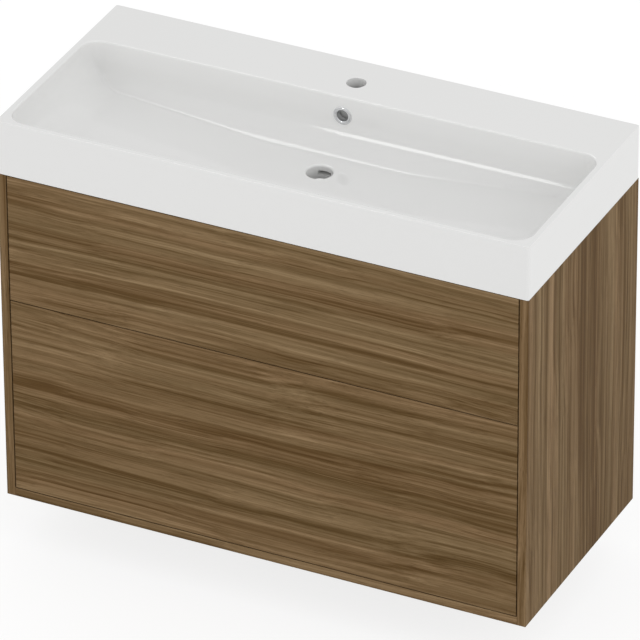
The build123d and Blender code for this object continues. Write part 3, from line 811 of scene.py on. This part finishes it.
def waste_cutter():
    """The waste hole and its lip, which widens in a quarter round."""
    outline = [(WASTE_RADIUS, BOWL_FLOOR - 0.06)]
    for angle in range(0, 86, WASTE_EDGE_TURN):
        turn = math.radians(angle)
        radius = WASTE_RADIUS + WASTE_EDGE * (1 - math.cos(turn))
        outline.append((radius, BOWL_FLOOR - WASTE_EDGE + WASTE_EDGE * math.sin(turn)))
    outline.append((WASTE_RADIUS + WASTE_EDGE + 0.001, BOWL_FLOOR + 0.0006))
    cutter = turned("waste_cutter", outline, WASTE)
    bpy.ops.mesh.edge_face_add()
    select_edges(cutter, lambda edge: edge.is_boundary)
    bpy.ops.mesh.edge_face_add()
    bpy.ops.mesh.select_all(action="SELECT")
    bpy.ops.mesh.normals_make_consistent(inside=False)
    stop_editing()
    return cutter


def cut_holes(basin):
    """Cuts the waste hole, the tap hole and the overflow with its ring's seat."""
    combine(basin, waste_cutter(), "DIFFERENCE")
    tap_cutter = upright_rod("tap_cutter", TAP, TAP_RADIUS, RIM - 0.05, RIM + ABOVE_RIM)
    combine(basin, tap_cutter, "DIFFERENCE")

    def at_tap_rim(edge):
        return at_rim(edge) and all(
            abs((vertex.co.xy - Vector(TAP)).length - TAP_RADIUS) < 0.0002 for vertex in edge.verts
        )

    bevel_edges(basin, at_tap_rim, TAP_EDGE, 4)
    into_channel = BOWL_WALL + CHANNEL_DEPTH / 2
    through = level_rod("overflow_cutter", OVERFLOW, into_channel, OVERFLOW_RADIUS, 48)
    combine(basin, through, "DIFFERENCE")
    seat = level_rod("ring_seat_cutter", OVERFLOW, -BOWL_WALL, RING_RADIUS + RING_ROOM, 64)
    combine(basin, seat, "DIFFERENCE")


def build_basin():
    """The basin in one shell, which stands for the solid of the same name."""
    basin = build_shell()
    join_underside(basin)
    cut_bowl(basin)
    cut_overflow_channel(basin)
    cut_holes(basin)
    smooth(basin, 30.0)
    dress(basin, finishes["ceramic"])
    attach(basin, "cabinet")
    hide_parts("basin")


def build_overflow_ring():
    """The domed chrome ring, turned about its axis and set in the bowl's back wall."""
    outline = [(RING_BORE, -RING_COLLAR_LENGTH), (RING_COLLAR, -RING_COLLAR_LENGTH)]
    outline += [(RING_COLLAR, 0.0), (RING_RADIUS - 0.0002, 0.0)]
    half = (RING_RADIUS - RING_BORE) / 2
    middle = (RING_RADIUS + RING_BORE) / 2
    dome = RING_THICKNESS - RING_FOOT
    for index in range(RING_DOME_STEPS + 1):
        turn = math.pi * index / RING_DOME_STEPS
        outline.append((middle + half * math.cos(turn), RING_FOOT + dome * math.sin(turn)))
    outline.append((RING_BORE, -RING_COLLAR_LENGTH))
    ring = turned("chrome_overflow_ring", outline, (0.0, 0.0))
    bpy.ops.mesh.select_all(action="SELECT")
    bpy.ops.mesh.remove_doubles(threshold=0.00001)
    bpy.ops.mesh.normals_make_consistent(inside=False)
    stop_editing()
    ring.rotation_euler = (math.pi / 2, 0, 0)
    ring.location = OVERFLOW
    settle(ring)
    smooth(ring, 40.0)
    dress(ring, finishes["chrome"])
    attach(ring, "cabinet")
    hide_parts("overflow_ring")


build_basin()
build_overflow_ring()


# Studio


def show_when_seen(tree, unseen, seen, output):
    """One look for what is seen straight on or in gloss, and another for the light it gives."""
    path = add(tree, "ShaderNodeLightPath").outputs
    direct = calculate(tree, "MAXIMUM", path["Is Camera Ray"], path["Is Glossy Ray"])
    direct = calculate(tree, "MAXIMUM", direct, path["Is Transmission Ray"])
    both = add(tree, "ShaderNodeMixShader", {0: direct, 1: unseen, 2: seen})
    tree.links.new(both.outputs[0], add(tree, output).inputs["Surface"])


def build_floor():
    """A pale floor that looks white to the camera and keeps the unit's soft shadow."""
    deselect_all()
    bpy.ops.mesh.primitive_plane_add(size=FLOOR_SIZE, location=(0, 0, FLOOR_LEVEL))
    floor = bpy.context.object
    floor.name = "floor"
    finish = bpy.data.materials.new("pale_floor")
    finish.use_nodes = True
    tree = finish.node_tree
    tree.nodes.clear()
    shade = (FLOOR_SHADE, FLOOR_SHADE, FLOOR_SHADE, 1)
    plain = add(tree, "ShaderNodeBsdfDiffuse", {"Color": shade}).outputs[0]
    clean = add(tree, "ShaderNodeBsdfDiffuse", {"Color": (1, 1, 1, 1)}).outputs[0]
    white = {"Color": (1, 1, 1, 1), "Strength": FLOOR_GLOW}
    glow = add(tree, "ShaderNodeEmission", white).outputs[0]
    seen = add(tree, "ShaderNodeMixShader", {0: FLOOR_GLOW_SHARE, 1: clean, 2: glow}).outputs[0]
    show_when_seen(tree, plain, seen, "ShaderNodeOutputMaterial")
    dress(floor, finish)


def build_world():
    """An even pale surround that lights the unit, and is white where it is seen."""
    world = bpy.data.worlds.new("studio")
    bpy.context.scene.world = world
    world.use_nodes = True
    tree = world.node_tree
    tree.nodes.clear()
    soft = {"Color": (1, 1, 1, 1), "Strength": AMBIENT}
    light = add(tree, "ShaderNodeBackground", soft).outputs[0]
    white = {"Color": (1, 1, 1, 1), "Strength": 1.0}
    backdrop = add(tree, "ShaderNodeBackground", white).outputs[0]
    show_when_seen(tree, light, backdrop, "ShaderNodeOutputWorld")


def soft_lamp(name, place, aim, width, height, brightness):
    """A rectangular soft light of an even brightness, aimed at a point."""
    lamp = bpy.data.lights.new(name, "AREA")
    lamp.shape = "RECTANGLE"
    lamp.size = width
    lamp.size_y = height
    lamp.energy = brightness * width * height * math.pi
    holder = bpy.data.objects.new(name, lamp)
    bpy.context.scene.collection.objects.link(holder)
    holder.location = place
    holder.rotation_euler = (Vector(aim) - Vector(place)).to_track_quat("-Z", "Y").to_euler()
    holder.visible_camera = False
    return holder


def build_camera():
    """The camera at the photograph's angle."""
    azimuth, elevation, roll = (math.radians(angle) for angle in (AZIMUTH, ELEVATION, ROLL))
    level_way = Vector((math.sin(azimuth), -math.cos(azimuth), 0.0))
    back = level_way * math.cos(elevation) + Vector((0, 0, math.sin(elevation)))
    level = Vector((0, 0, 1)).cross(back).normalized()
    rise = back.cross(level)
    right = math.cos(roll) * level + math.sin(roll) * rise
    up = math.cos(roll) * rise - math.sin(roll) * level
    camera = bpy.data.cameras.new("camera")
    camera.sensor_width = SENSOR
    camera.lens = LENS
    camera.clip_end = VIEW_END
    holder = bpy.data.objects.new("camera", camera)
    bpy.context.scene.collection.objects.link(holder)
    matrix = Matrix((right, up, back)).transposed().to_4x4()
    matrix.translation = TARGET + back * DISTANCE
    holder.matrix_world = matrix
    bpy.context.scene.camera = holder


build_floor()
build_world()
for name, settings in GLEAM_LAMPS.items():
    soft_lamp(name, *settings).visible_diffuse = False
for name, settings in FILL_LAMPS.items():
    soft_lamp(name, *settings).visible_glossy = False
build_camera()

bpy.context.scene.view_settings.view_transform = "Standard"
